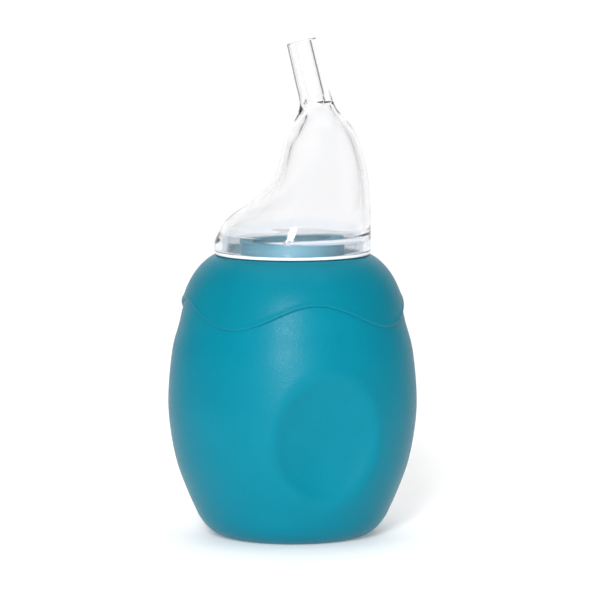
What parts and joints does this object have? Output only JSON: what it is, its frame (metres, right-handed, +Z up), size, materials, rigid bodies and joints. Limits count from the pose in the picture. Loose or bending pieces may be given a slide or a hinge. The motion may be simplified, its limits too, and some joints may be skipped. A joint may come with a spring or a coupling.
{
  "type": "nasal aspirator",
  "caption": "Hand-squeezed infant nasal aspirator: soft dimpled bulb, wavy collar, and a clear lopsided mucus trap with a slanted nozzle.",
  "frame": {"origin": "centre of the flat base that the bulb stands on", "axes": "+Z up along the bulb's axis; the nozzle leans towards -X; the thumb dimple looks 17 degrees from -Y towards +X"},
  "size_m": [0.0548, 0.0544, 0.1097],
  "materials": {
    "bulb_rubber": "satin, fine grain",
    "collar_rubber": "satin, fine grain",
    "milky_plastic": "milky, translucent",
    "seal_rubber": "translucent white",
    "clear_plastic": "clear, glossy"
  },
  "bodies": {
    "bulb": {"squeeze_bulb": "bulb_rubber", "shoulder_collar": "collar_rubber"},
    "thumb_side": {"thumb_panel": "bulb_rubber"},
    "finger_side": {"finger_panel": "bulb_rubber"},
    "adapter": {"neck_adapter": "milky_plastic"},
    "seal": {"seal_ring": "seal_rubber"},
    "trap": {"mucus_trap": "clear_plastic"}
  },
  "joints": [
    {"name": "thumb_press", "type": "slide", "parent": "bulb", "child": "thumb_side", "axis": [-0.2924, 0.9563, 0], "range_m": [0, 0.007], "stiffness_N_per_m": 1500},
    {"name": "finger_press", "type": "slide", "parent": "bulb", "child": "finger_side", "axis": [0.2924, -0.9563, 0], "range_m": [0, 0.007], "stiffness_N_per_m": 1500},
    {"name": "adapter_pull", "type": "slide", "parent": "bulb", "child": "adapter", "axis": [0, 0, 1], "range_m": [0, 0.012]},
    {"name": "nozzle_swivel", "type": "hinge", "parent": "adapter", "child": "seal", "pos_m": [0, 0, 0.06255], "axis": [0, 0, 1], "continuous": true},
    {"name": "trap_pull", "type": "slide", "parent": "seal", "child": "trap", "axis": [0, 0, 1], "range_m": [0, 0.014]}
  ],
  "couplings": [
    {"joint": "finger_press", "follows": "thumb_press", "ratio": 1}
  ]
}
